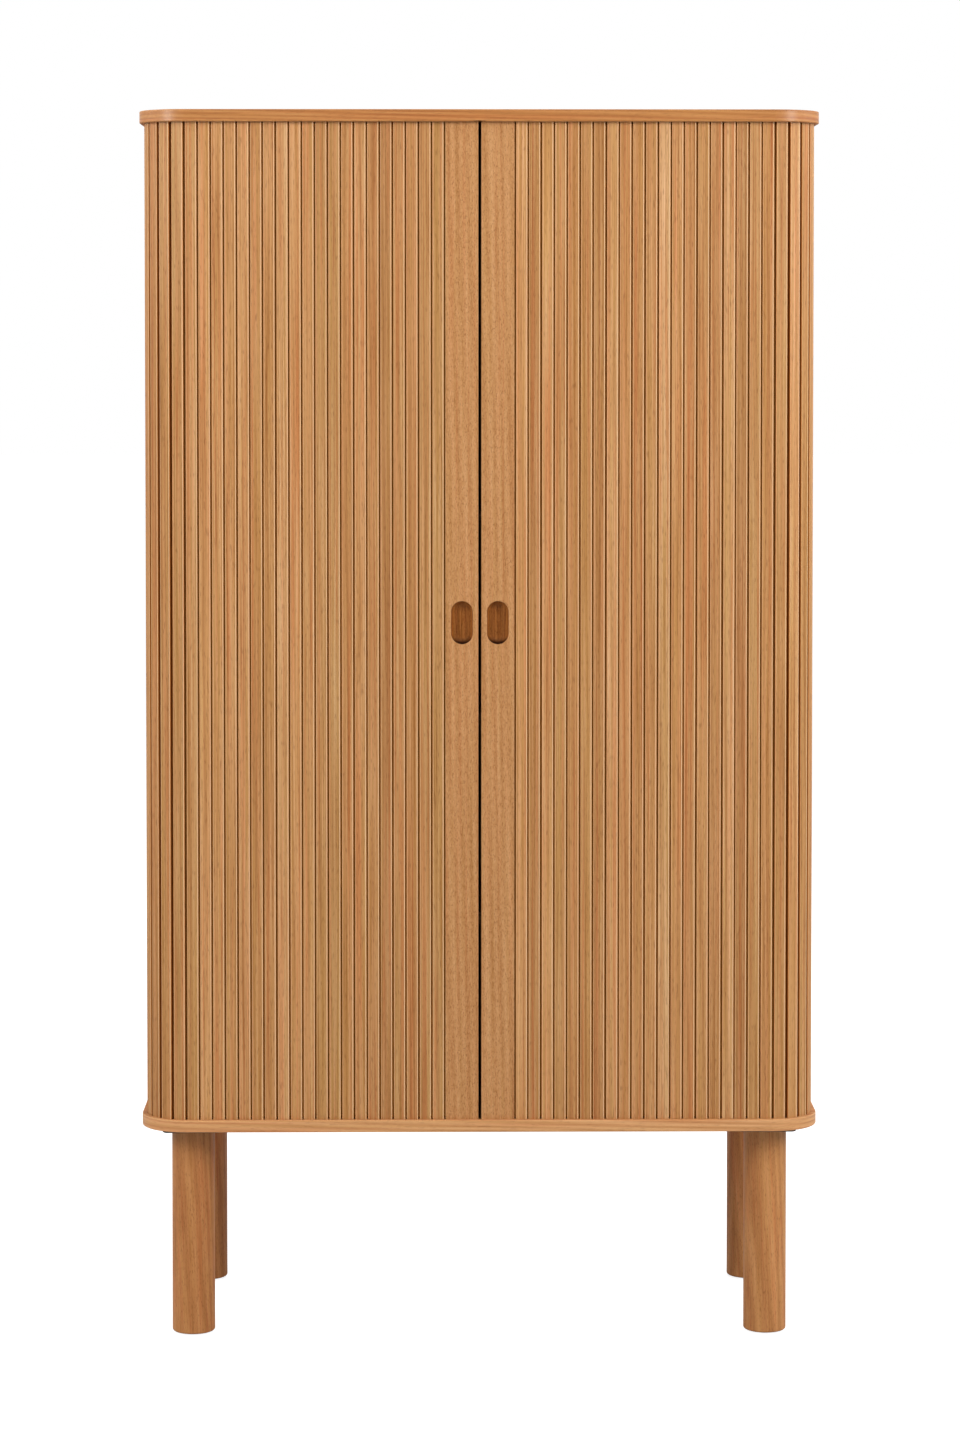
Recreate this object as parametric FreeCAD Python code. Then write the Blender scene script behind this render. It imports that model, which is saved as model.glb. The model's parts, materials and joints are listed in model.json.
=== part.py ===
# Oak tambour cabinet: two slat curtains slide sideways round the rounded corners of a
# tall cabinet that stands on four round legs.
# Millimetres. The origin is on the floor under the middle, +Z is up, +X is to the right
# and the front faces -Y.
import FreeCAD
import Part
import math
import os

Vector = FreeCAD.Vector

# Overall size
CABINET_WIDTH = 950.0
CABINET_DEPTH = 450.0
CABINET_HEIGHT = 1720.0

# Top and bottom boards
BOARD_THICKNESS = 17.0
BOARD_CORNER_RADIUS = 66.0
BOARD_EASING = 1.5

# Notch in the top board's lip where the curtains meet
LIP_NOTCH_WIDTH = 15.0
LIP_NOTCH_HEIGHT = 1.5

# Legs and what holds them
LEG_DIAMETER = 60.0
LEG_LENGTH = 288.0
LEG_INSET = 71.0
LEG_TOP_EASING = 1.0
LEG_FOOT_EASING = 3.0
PLATE_SIZE = 82.0
PLATE_HEIGHT = 7.0
PLATE_CORNER_RADIUS = 8.0
PLATE_EASING = 1.5
PLATE_SCREW_INSET = 9.0
PLATE_SCREW_BITE = 6.0
BOLT_DIAMETER = 10.0
BOLT_DEPTH_IN_LEG = 40.0
GLIDE_DIAMETER = 40.0
GLIDE_THICKNESS = 2.0

# Slat curtains
SLAT_PITCH = 18.0
SLAT_GAP = 1.8
SLAT_THICKNESS = 6.0
SLAT_EASING = 0.8
CURTAIN_INSET = 7.0
CURTAIN_TAIL = 10.0
CANVAS_THICKNESS = 0.6
CANVAS_MARGIN = 2.0
CANVAS_SPLIT = 0.3
GLUE_LINE = 0.1
GROOVE_DEPTH = 8.0
GROOVE_CLEARANCE = 0.35
SLAT_FOOT_CLEARANCE = 0.3
SLAT_HEAD_CLEARANCE = 1.3
SLATS_IN_A_GROUP = 5

# Lead stiles and their finger pulls
STILE_LEAST_WIDTH = 40.0
STILE_THICKNESS = 15.0
STILE_END_CLEARANCE = 1.0
MEETING_GAP = 3.6
PULL_WIDTH = 30.0
PULL_HEIGHT = 60.0
PULL_FLOOR = 5.0
PULL_WALL = 2.0
PULL_RIM_EASING = 0.8
PULL_FLOOR_RADIUS = 9.5

# Stops that the lead stiles meet when the curtains are open
STOP_WIDTH = 15.0
STOP_DEPTH = 15.0
STOP_HEIGHT = 25.0
STOP_CLEARANCE = 0.4
STOP_SPACE = 2.0
STOP_SCREW_BITE = 9.0

# Inner carcass and back
CURTAIN_SPACE = 4.3
SIDE_THICKNESS = 15.0
INNER_BACK_THICKNESS = 6.0
INNER_BACK_REBATE = 7.5
BACK_THICKNESS = 6.0
BACK_RECESS = 2.0
BACK_SPACE = 7.0
BACK_LIP = 3.0
BACK_FIT = 0.3
BACK_SCREW_COUNT = 7
BACK_SCREW_END_INSET = 30.0
BACK_SCREW_LENGTH = 22.0

# Shelves, from the lowest up; the second is fixed
SHELF_NAMES = ("lower_shelf", "fixed_shelf", "middle_shelf", "upper_shelf")
FIXED_SHELF = "fixed_shelf"
SHELF_THICKNESS = 18.0
SHELF_SIDE_CLEARANCE = 0.5
SHELF_BACK_CLEARANCE = 0.5
SHELF_FRONT_SETBACK = 6.0
SHELF_EASING = 1.0
PIN_DIAMETER = 5.0
PIN_LENGTH_IN_SIDE = 8.5
PIN_REACH = 10.0
PIN_ROOT = 3.0
PIN_TAB_WIDTH = 8.0
PIN_TAB_THICKNESS = 2.5
PIN_INSET = 37.0
PIN_HOLE_SPACING = 32.0
PIN_HOLES_EACH_WAY = 2

# Dowels, wood screws and the room that fasteners have in their holes
DOWEL_DIAMETER = 8.0
DOWEL_IN_BOARD = 7.0
DOWEL_IN_SIDE = 10.0
DOWEL_IN_PANEL = 20.0
DOWEL_INSET = 45.0
SCREW_DIAMETER = 3.5
SCREW_HEAD_DIAMETER = 7.0
SCREW_HEAD_HEIGHT = 2.0
HOLE_CLEARANCE = 0.1

# Heights
plate_bottom = GLIDE_THICKNESS + LEG_LENGTH
board_bottom = plate_bottom + PLATE_HEIGHT
opening_bottom = board_bottom + BOARD_THICKNESS
opening_top = CABINET_HEIGHT - BOARD_THICKNESS
slat_bottom = opening_bottom - GROOVE_DEPTH + SLAT_FOOT_CLEARANCE
slat_top = opening_top + GROOVE_DEPTH - SLAT_HEAD_CLEARANCE
pull_height = (opening_bottom + opening_top) / 2

# Plan of the curtains: straight runs joined by quarter arcs about four corner centres
half_width = CABINET_WIDTH / 2
half_depth = CABINET_DEPTH / 2
face_radius = BOARD_CORNER_RADIUS - CURTAIN_INSET
back_radius = face_radius - SLAT_THICKNESS
canvas_radius = back_radius - GLUE_LINE - CANVAS_THICKNESS
rear_inset = BACK_RECESS + BACK_THICKNESS + BACK_SPACE
corner_x = half_width - BOARD_CORNER_RADIUS
front_corner_y = BOARD_CORNER_RADIUS - half_depth
rear_corner_y = half_depth - rear_inset - face_radius
face_y = front_corner_y - face_radius
slat_back_y = front_corner_y - back_radius
corner_run = back_radius * math.pi / 2
side_run = rear_corner_y - front_corner_y

# Slats that close the front, and slats that wait round the corner
slat_width = SLAT_PITCH - SLAT_GAP
front_slats = int((corner_x - STILE_LEAST_WIDTH) // SLAT_PITCH)
hidden_slats = int((2 * corner_run + side_run + CURTAIN_TAIL) // SLAT_PITCH)
lead_zone = corner_x - front_slats * SLAT_PITCH
door_travel = front_slats * SLAT_PITCH
slat_corner_reach = math.hypot(face_radius, slat_width / 2) - face_radius
groove_outer_radius = face_radius + slat_corner_reach + GROOVE_CLEARANCE
groove_inner_radius = back_radius - GROOVE_CLEARANCE

# Lead stile in plan, measured from the middle of the cabinet
stile_start = MEETING_GAP / 2
stile_end = lead_zone - SLAT_GAP / 2
stile_middle = (stile_start + stile_end) / 2
clamp_width = (stile_end - stile_start - PULL_WIDTH) / 2 - PULL_WALL
clamp_start = stile_end - clamp_width
stile_back_y = face_y + STILE_THICKNESS
batten_front_y = slat_back_y + 2 * GLUE_LINE + CANVAS_THICKNESS

# Inner carcass in plan
side_outer_x = corner_x + canvas_radius - CURTAIN_SPACE
side_inner_x = side_outer_x - SIDE_THICKNESS
inner_back_y = rear_corner_y - INNER_BACK_THICKNESS
shelf_front_y = front_corner_y + SHELF_FRONT_SETBACK
shelf_back_y = inner_back_y - SHELF_BACK_CLEARANCE
shelf_half_width = side_inner_x - SHELF_SIDE_CLEARANCE
back_panel_y = half_depth - BACK_RECESS - BACK_THICKNESS
back_rebate_depth = BOARD_THICKNESS - BACK_LIP
back_screw_offset = (GROOVE_DEPTH + back_rebate_depth) / 2

# Shelf heights, evenly spaced up the opening
shelf_step = (opening_top - opening_bottom + SHELF_THICKNESS) / (len(SHELF_NAMES) + 1)
shelf_bottoms = {}
for shelf_number, shelf_name in enumerate(SHELF_NAMES, start=1):
    shelf_bottoms[shelf_name] = opening_bottom + shelf_number * shelf_step - SHELF_THICKNESS

LEG_PLACES = {
    "front_left": (-1, -1),
    "front_right": (1, -1),
    "rear_left": (-1, 1),
    "rear_right": (1, 1),
}
DOOR_SIDES = {"left": -1, "right": 1}

nodes = {}


def box(x0, x1, y0, y1, z0, z1):
    low = Vector(min(x0, x1), min(y0, y1), min(z0, z1))
    return Part.makeBox(abs(x1 - x0), abs(y1 - y0), abs(z1 - z0), low)


def rounded_plate(x_half, y_front, y_rear, radius, z0, z1):
    """A flat plate with four rounded corners."""
    cx = x_half - radius
    front = y_front + radius
    rear = y_rear - radius
    diagonal = radius * math.sqrt(0.5)
    outline = []
    corners = (
        (cx, front, 1, -1),
        (cx, rear, 1, 1),
        (-cx, rear, -1, 1),
        (-cx, front, -1, -1),
    )
    last_end = None
    first_start = None
    for x, y, sx, sy in corners:
        on_x = Vector(x + sx * radius, y, z0)
        on_y = Vector(x, y + sy * radius, z0)
        middle = Vector(x + sx * diagonal, y + sy * diagonal, z0)
        start, end = (on_y, on_x) if sx * sy < 0 else (on_x, on_y)
        if last_end is None:
            first_start = start
        else:
            outline.append(Part.makeLine(last_end, start))
        outline.append(Part.Arc(start, middle, end).toShape())
        last_end = end
    outline.append(Part.makeLine(last_end, first_start))
    return Part.Face(Part.Wire(outline)).extrude(Vector(0, 0, z1 - z0))


def edges_at_height(shape, z):
    return [e for e in shape.Edges if abs(e.BoundBox.ZMin - z) < 1e-6 and abs(e.BoundBox.ZMax - z) < 1e-6]


def wood_screw(seat, direction, length, grow=0.0):
    """A countersunk screw with its head's top at the seat; grown, it is the hole for one."""
    head_top = SCREW_HEAD_DIAMETER / 2 + grow
    shank = SCREW_DIAMETER / 2 + grow
    head = Part.makeCone(head_top, shank, SCREW_HEAD_HEIGHT, seat, direction)
    body = Part.makeCylinder(shank, length + grow, seat, direction)
    return head.fuse(body).removeSplitter()


def peg(diameter, start, direction, length, grow=0.0):
    """A plain round pin; grown, it is the hole for one, with room at both ends."""
    axis = Vector(direction).normalize()
    base = start - axis * grow
    return Part.makeCylinder(diameter / 2 + grow, length + 2 * grow, base, axis)


def path_place(distance, sign):
    """Where a slat's back stands at a distance from the middle, and how far it is turned."""
    past_front = distance - corner_x
    past_corner = past_front - corner_run
    past_side = past_corner - side_run
    past_rear = past_side - corner_run
    if past_front <= 0:
        x, y, turn = distance, slat_back_y, 0.0
    elif past_corner <= 0:
        turn = past_front / back_radius
        x = corner_x + back_radius * math.sin(turn)
        y = front_corner_y - back_radius * math.cos(turn)
    elif past_side <= 0:
        x, y, turn = corner_x + back_radius, front_corner_y + past_corner, math.pi / 2
    elif past_rear <= 0:
        turn = math.pi / 2 + past_side / back_radius
        x = corner_x + back_radius * math.sin(turn)
        y = rear_corner_y - back_radius * math.cos(turn)
    else:
        x, y, turn = corner_x - past_rear, rear_corner_y + back_radius, math.pi
    rotation = FreeCAD.Rotation(Vector(0, 0, 1), math.degrees(sign * turn))
    return FreeCAD.Placement(Vector(sign * x, y, 0), rotation)


def eased_bar(x0, x1, y_face, y_back, easing, z0, z1):
    """An upright bar whose two long edges on the face side are rounded."""
    bar = box(x0, x1, y_face, y_back, z0, z1)
    long_edges = []
    for edge in bar.Edges:
        upright = edge.BoundBox.ZLength > edge.BoundBox.XLength + edge.BoundBox.YLength
        if upright and abs(edge.BoundBox.YMin - y_face) < 1e-6:
            long_edges.append(edge)
    return bar.makeFillet(easing, long_edges)


def slat(number, sign):
    """One slat of a curtain, counted from the lead stile."""
    half = slat_width / 2
    bar = eased_bar(-half, half, -SLAT_THICKNESS, 0, SLAT_EASING, slat_bottom, slat_top)
    bar.Placement = path_place(lead_zone + SLAT_PITCH * (number - 0.5), sign)
    return bar


def make_board(inner_z, outer_z):
    """Top or bottom board, with the curtains' groove and the back's rebate on its inner face."""
    low, high = sorted((inner_z, outer_z))
    inward = 1 if inner_z > outer_z else -1
    board = rounded_plate(half_width, -half_depth, half_depth, BOARD_CORNER_RADIUS, low, high)
    board = board.makeFillet(BOARD_EASING, edges_at_height(board, low) + edges_at_height(board, high))
    floor_z = inner_z - inward * GROOVE_DEPTH
    groove_low, groove_high = sorted((floor_z, inner_z + inward * GROOVE_DEPTH))
    groove = rounded_plate(
        corner_x + groove_outer_radius, front_corner_y - groove_outer_radius,
        rear_corner_y + groove_outer_radius, groove_outer_radius, groove_low, groove_high)
    island = rounded_plate(
        corner_x + groove_inner_radius, front_corner_y - groove_inner_radius,
        rear_corner_y + groove_inner_radius, groove_inner_radius, groove_low, groove_high)
    rebate_z = inner_z - inward * back_rebate_depth
    rebate_half = corner_x + BACK_FIT
    rebate = box(-rebate_half, rebate_half, back_panel_y, half_depth + BOARD_THICKNESS,
                 rebate_z, inner_z + inward * GROOVE_DEPTH)
    return board.cut(groove.cut(island)).cut(rebate)


def carcass_dowel_places():
    """Seats of the dowels between the inner sides and the boards, and which way is into the side."""
    x = side_outer_x - SIDE_THICKNESS / 2
    rows = (front_corner_y + DOWEL_INSET, (front_corner_y + rear_corner_y) / 2, rear_corner_y - DOWEL_INSET)
    places = []
    for sign in DOOR_SIDES.values():
        for y in rows:
            places.append((Vector(sign * x, y, opening_bottom), Vector(0, 0, 1)))
            places.append((Vector(sign * x, y, opening_top), Vector(0, 0, -1)))
    return places


def carcass_dowels(grow=0.0):
    length = DOWEL_IN_BOARD + DOWEL_IN_PANEL
    return [peg(DOWEL_DIAMETER, seat - way * DOWEL_IN_BOARD, way, length, grow)
            for seat, way in carcass_dowel_places()]


def fixed_shelf_dowels(grow=0.0):
    z = shelf_bottoms[FIXED_SHELF] + SHELF_THICKNESS / 2
    length = DOWEL_IN_SIDE + SHELF_SIDE_CLEARANCE + DOWEL_IN_PANEL
    pegs = []
    for sign in DOOR_SIDES.values():
        for y in (shelf_front_y + DOWEL_INSET, shelf_back_y - DOWEL_INSET):
            start = Vector(sign * (side_inner_x + DOWEL_IN_SIDE), y, z)
            pegs.append(peg(DOWEL_DIAMETER, start, Vector(-sign, 0, 0), length, grow))
    return pegs


def plate_centre(place):
    sx, sy = LEG_PLACES[place]
    return sx * (half_width - LEG_INSET), sy * (half_depth - LEG_INSET)


def plate_screws(place, grow=0.0):
    x, y = plate_centre(place)
    reach = PLATE_SIZE / 2 - PLATE_SCREW_INSET
    length = PLATE_HEIGHT + PLATE_SCREW_BITE
    seats = [Vector(x + dx * reach, y + dy * reach, plate_bottom) for dx in (-1, 1) for dy in (-1, 1)]
    return [wood_screw(seat, Vector(0, 0, 1), length, grow) for seat in seats]


def leg_bolt(place, grow=0.0):
    x, y = plate_centre(place)
    length = BOLT_DEPTH_IN_LEG + PLATE_HEIGHT
    start = Vector(x, y, plate_bottom - BOLT_DEPTH_IN_LEG)
    return peg(BOLT_DIAMETER, start, Vector(0, 0, 1), length - 2 * HOLE_CLEARANCE, grow)


def back_screws(grow=0.0):
    span = corner_x - BACK_SCREW_END_INSET
    step = 2 * span / (BACK_SCREW_COUNT - 1)
    seat_y = half_depth - BACK_RECESS
    screws = []
    for z in (opening_bottom - back_screw_offset, opening_top + back_screw_offset):
        for i in range(BACK_SCREW_COUNT):
            seat = Vector(-span + i * step, seat_y, z)
            screws.append(wood_screw(seat, Vector(0, -1, 0), BACK_SCREW_LENGTH, grow))
    return screws


def stop_front_y():
    """The stops stand clear of the canvas where it starts to turn the corner."""
    return front_corner_y - math.sqrt(canvas_radius ** 2 - (STOP_WIDTH + STOP_CLEARANCE) ** 2) + STOP_SPACE


def stop_start_x():
    return corner_x - SLAT_GAP / 2 + STOP_CLEARANCE


def stop_screws(sign, grow=0.0):
    x = sign * (stop_start_x() + STOP_WIDTH / 2)
    y = stop_front_y() + STOP_DEPTH / 2
    length = STOP_HEIGHT + STOP_SCREW_BITE
    lower = wood_screw(Vector(x, y, opening_bottom + STOP_HEIGHT), Vector(0, 0, -1), length, grow)
    upper = wood_screw(Vector(x, y, opening_top - STOP_HEIGHT), Vector(0, 0, 1), length, grow)
    return [lower, upper]


def cut_all(shape, tools):
    return shape.cut(Part.Compound(tools))


# Top and bottom boards
every_plate_screw_hole = [hole for place in LEG_PLACES for hole in plate_screws(place, HOLE_CLEARANCE)]
every_stop_screw_hole = [hole for sign in DOOR_SIDES.values() for hole in stop_screws(sign, HOLE_CLEARANCE)]
board_holes = carcass_dowels(HOLE_CLEARANCE) + back_screws(HOLE_CLEARANCE) + every_stop_screw_hole
bottom_board = make_board(opening_bottom, board_bottom)
nodes["bottom_board"] = cut_all(bottom_board, board_holes + every_plate_screw_hole)
lip_notch = box(-LIP_NOTCH_WIDTH / 2, LIP_NOTCH_WIDTH / 2, -half_depth - BOARD_EASING, face_y,
                opening_top - LIP_NOTCH_HEIGHT, opening_top + LIP_NOTCH_HEIGHT)
nodes["top_board"] = cut_all(make_board(opening_top, CABINET_HEIGHT), board_holes + [lip_notch])

# Legs with their plates, bolts, screws and glides
bolts, screws, glides = [], [], []
for place in LEG_PLACES:
    x, y = plate_centre(place)
    bolt_hole = leg_bolt(place, HOLE_CLEARANCE)
    leg = Part.makeCylinder(LEG_DIAMETER / 2, LEG_LENGTH, Vector(x, y, GLIDE_THICKNESS))
    leg = leg.makeFillet(LEG_FOOT_EASING, edges_at_height(leg, GLIDE_THICKNESS))
    leg = leg.makeFillet(LEG_TOP_EASING, edges_at_height(leg, plate_bottom))
    nodes[place + "_leg"] = leg.cut(bolt_hole)
    half_plate = PLATE_SIZE / 2
    plate = rounded_plate(half_plate, -half_plate, half_plate, PLATE_CORNER_RADIUS,
                          plate_bottom, board_bottom)
    plate = plate.makeFillet(PLATE_EASING, edges_at_height(plate, plate_bottom))
    plate.translate(Vector(x, y, 0))
    nodes[place + "_leg_plate"] = cut_all(plate, plate_screws(place, HOLE_CLEARANCE) + [bolt_hole])
    bolts.append(leg_bolt(place))
    screws.extend(plate_screws(place))
    glides.append(Part.makeCylinder(GLIDE_DIAMETER / 2, GLIDE_THICKNESS, Vector(x, y, 0)))
nodes["leg_bolts"] = bolts
nodes["leg_plate_screws"] = screws
nodes["leg_glides"] = glides


def pin_rows():
    """Each adjustable shelf's pins: the shelf's underside and the two rows that they stand in."""
    rows = (front_corner_y + PIN_INSET, inner_back_y - PIN_INSET)
    return [(shelf_bottoms[name], y) for name in SHELF_NAMES if name != FIXED_SHELF for y in rows]


def pin_holes(sign):
    holes = []
    for shelf_bottom, y in pin_rows():
        for step in range(-PIN_HOLES_EACH_WAY, PIN_HOLES_EACH_WAY + 1):
            z = shelf_bottom - PIN_DIAMETER / 2 + step * PIN_HOLE_SPACING
            start = Vector(sign * side_inner_x, y, z)
            holes.append(peg(PIN_DIAMETER, start, Vector(sign, 0, 0), PIN_LENGTH_IN_SIDE, HOLE_CLEARANCE))
    return holes


def shelf_pin(sign, shelf_bottom, y):
    """A round peg in the side with a flat tab that the shelf lies on."""
    start = Vector(sign * (side_inner_x - PIN_ROOT), y, shelf_bottom - PIN_DIAMETER / 2)
    round_end = peg(PIN_DIAMETER, start, Vector(sign, 0, 0), PIN_ROOT + PIN_LENGTH_IN_SIDE)
    tab = box(sign * side_inner_x, sign * (side_inner_x - PIN_REACH), y - PIN_TAB_WIDTH / 2,
              y + PIN_TAB_WIDTH / 2, shelf_bottom - PIN_TAB_THICKNESS, shelf_bottom)
    return round_end.fuse(tab).removeSplitter()


# Inner sides, each rebated for the inner back
for side_name, sign in DOOR_SIDES.items():
    side = box(sign * side_inner_x, sign * side_outer_x, front_corner_y, rear_corner_y,
               opening_bottom, opening_top)
    rebate = box(sign * side_inner_x, sign * (side_inner_x + INNER_BACK_REBATE),
                 inner_back_y, rear_corner_y, opening_bottom, opening_top)
    holes = carcass_dowels(HOLE_CLEARANCE) + fixed_shelf_dowels(HOLE_CLEARANCE) + pin_holes(sign)
    nodes[side_name + "_inner_side"] = cut_all(side.cut(rebate), holes)
inner_back_half = side_inner_x + INNER_BACK_REBATE
nodes["inner_back"] = box(-inner_back_half, inner_back_half, inner_back_y, rear_corner_y,
                          opening_bottom, opening_top)
nodes["carcass_dowels"] = carcass_dowels()

# Outer back panel and its screws
outer_back = box(-corner_x, corner_x, back_panel_y, back_panel_y + BACK_THICKNESS,
                 opening_bottom - back_rebate_depth + BACK_FIT, opening_top + back_rebate_depth - BACK_FIT)
nodes["outer_back"] = cut_all(outer_back, back_screws(HOLE_CLEARANCE))
nodes["back_panel_screws"] = back_screws()

# Shelves, their pins and dowels
for name in SHELF_NAMES:
    z = shelf_bottoms[name]
    shelf = box(-shelf_half_width, shelf_half_width, shelf_front_y, shelf_back_y, z, z + SHELF_THICKNESS)
    front_edges = [e for e in shelf.Edges if abs(e.BoundBox.YMax - shelf_front_y) < 1e-6
                   and e.BoundBox.XLength > e.BoundBox.ZLength]
    shelf = shelf.makeFillet(SHELF_EASING, front_edges)
    nodes[name] = cut_all(shelf, fixed_shelf_dowels(HOLE_CLEARANCE)) if name == FIXED_SHELF else shelf
nodes["fixed_shelf_dowels"] = fixed_shelf_dowels()
nodes["shelf_pins"] = [shelf_pin(sign, z, y) for sign in DOOR_SIDES.values() for z, y in pin_rows()]


def pull_pocket(sign):
    """The finger pull: an upright oval, straight-walled, with a rounded floor."""
    radius = PULL_WIDTH / 2
    x = sign * stile_middle
    arc_low = pull_height - PULL_HEIGHT / 2 + radius
    arc_high = pull_height + PULL_HEIGHT / 2 - radius
    left_low, right_low = Vector(x - radius, face_y, arc_low), Vector(x + radius, face_y, arc_low)
    left_high, right_high = Vector(x - radius, face_y, arc_high), Vector(x + radius, face_y, arc_high)
    outline = Part.Wire([
        Part.Arc(left_low, Vector(x, face_y, arc_low - radius), right_low).toShape(),
        Part.makeLine(right_low, right_high),
        Part.Arc(right_high, Vector(x, face_y, arc_high + radius), left_high).toShape(),
        Part.makeLine(left_high, left_low),
    ])
    pocket = Part.Face(outline).extrude(Vector(0, STILE_THICKNESS - PULL_FLOOR, 0))
    floor_y = face_y + STILE_THICKNESS - PULL_FLOOR
    floor_edges = [e for e in pocket.Edges if abs(e.BoundBox.YMin - floor_y) < 1e-6]
    return pocket.makeFillet(PULL_FLOOR_RADIUS, floor_edges)


def lead_stile(sign):
    """Face layer with tongues for the grooves, a thicker back between the boards, and the pull."""
    low_x, high_x = sorted((sign * stile_start, sign * stile_end))
    face_layer = eased_bar(low_x, high_x, face_y, slat_back_y, SLAT_EASING, slat_bottom, slat_top)
    back_layer = box(sign * stile_start, sign * clamp_start, slat_back_y, stile_back_y,
                     opening_bottom + STILE_END_CLEARANCE, opening_top - STILE_END_CLEARANCE)
    stile = face_layer.fuse(back_layer).removeSplitter().cut(pull_pocket(sign))
    rim = []
    for edge in stile.Edges:
        on_face = abs(edge.BoundBox.YMin - face_y) < 1e-6 and abs(edge.BoundBox.YMax - face_y) < 1e-6
        by_pull = abs(edge.BoundBox.Center.z - pull_height) < PULL_HEIGHT / 2
        if on_face and by_pull and edge.Length < 2 * PULL_HEIGHT:
            rim.append(edge)
    return stile.makeFillet(PULL_RIM_EASING, rim)


def canvas_round_the_side(sign):
    """The cloth behind the slats, from the front corner to the end of the curtain."""
    curtain_end = lead_zone + SLAT_PITCH * (front_slats + hidden_slats)
    tail = corner_x - (curtain_end - corner_x - 2 * corner_run - side_run)
    diagonal = math.sqrt(0.5)

    def run(radius):
        at = [
            Vector(sign * corner_x, front_corner_y - radius, 0),
            Vector(sign * (corner_x + radius * diagonal), front_corner_y - radius * diagonal, 0),
            Vector(sign * (corner_x + radius), front_corner_y, 0),
            Vector(sign * (corner_x + radius), rear_corner_y, 0),
            Vector(sign * (corner_x + radius * diagonal), rear_corner_y + radius * diagonal, 0),
            Vector(sign * corner_x, rear_corner_y + radius, 0),
            Vector(sign * tail, rear_corner_y + radius, 0),
        ]
        edges = [
            Part.Arc(at[0], at[1], at[2]).toShape(),
            Part.makeLine(at[2], at[3]),
            Part.Arc(at[3], at[4], at[5]).toShape(),
            Part.makeLine(at[5], at[6]),
        ]
        return edges, at[0], at[6]

    outer, outer_start, outer_end = run(back_radius - GLUE_LINE)
    inner, inner_start, inner_end = run(canvas_radius)
    ends = [Part.makeLine(outer_end, inner_end), Part.makeLine(inner_start, outer_start)]
    loop = Part.Wire(Part.__sortEdges__(outer + inner + ends))
    cloth = Part.Face(loop).extrude(Vector(0, 0, opening_top - opening_bottom - 2 * CANVAS_MARGIN))
    cloth.translate(Vector(0, 0, opening_bottom + CANVAS_MARGIN))
    return cloth


# Slat curtains, one for each side
for side_name, sign in DOOR_SIDES.items():
    nodes[side_name + "_lead_stile"] = lead_stile(sign)
    nodes[side_name + "_canvas_batten"] = box(
        sign * clamp_start, sign * stile_end, batten_front_y, stile_back_y,
        opening_bottom + STILE_END_CLEARANCE, opening_top - STILE_END_CLEARANCE)
    nodes[side_name + "_front_canvas"] = box(
        sign * (clamp_start + GLUE_LINE), sign * (corner_x - CANVAS_SPLIT),
        slat_back_y + GLUE_LINE, slat_back_y + GLUE_LINE + CANVAS_THICKNESS,
        opening_bottom + CANVAS_MARGIN, opening_top - CANVAS_MARGIN)
    for number in range(1, front_slats + 1):
        group = (number - 1) // SLATS_IN_A_GROUP + 1
        nodes.setdefault(f"{side_name}_front_slats_{group}", []).append(slat(number, sign))
    for number in range(front_slats + 1, front_slats + hidden_slats + 1):
        past_front = lead_zone + SLAT_PITCH * (number - 0.5) - corner_x
        if past_front <= corner_run:
            group = "front_corner_slats"
        elif past_front <= corner_run + side_run:
            group = "side_slats"
        else:
            group = "rear_corner_slats"
        nodes.setdefault(f"{side_name}_{group}", []).append(slat(number, sign))
    nodes[side_name + "_side_canvas"] = canvas_round_the_side(sign)

# Door stops, a lower and an upper one on each side
every_stop_screw = []
for side_name, sign in DOOR_SIDES.items():
    start_x = sign * stop_start_x()
    end_x = sign * (stop_start_x() + STOP_WIDTH)
    stop_y = stop_front_y()
    lower = box(start_x, end_x, stop_y, stop_y + STOP_DEPTH, opening_bottom, opening_bottom + STOP_HEIGHT)
    upper = box(start_x, end_x, stop_y, stop_y + STOP_DEPTH, opening_top - STOP_HEIGHT, opening_top)
    holes = stop_screws(sign, HOLE_CLEARANCE)
    nodes[side_name + "_door_stops"] = [cut_all(lower, holes), cut_all(upper, holes)]
    every_stop_screw.extend(stop_screws(sign))
nodes["door_stop_screws"] = every_stop_screw

# One STEP file for each node
os.makedirs("parts", exist_ok=True)
for name, shape in nodes.items():
    solid = Part.Compound(shape) if isinstance(shape, list) else shape
    solid.exportStep(f"parts/{name}.step")
print(len(nodes), "nodes;", front_slats, "slats close each side of the front and", hidden_slats,
      "wait behind")
print("lead stile", round(stile_end - stile_start, 2), "wide; each curtain opens by", door_travel)
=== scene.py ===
# %% [markdown]
# # An oak tambour cabinet
# Two curtains of narrow oak slats close a tall cabinet. Each curtain slides sideways by its
# wide lead stile and rolls round the rounded corner. The CAD model gives every piece its place,
# so this lesson only dresses it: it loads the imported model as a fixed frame, makes the slats,
# the cloth and the screws anew with finer shapes, and gives every surface its material.

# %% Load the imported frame
import json
import math

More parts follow.
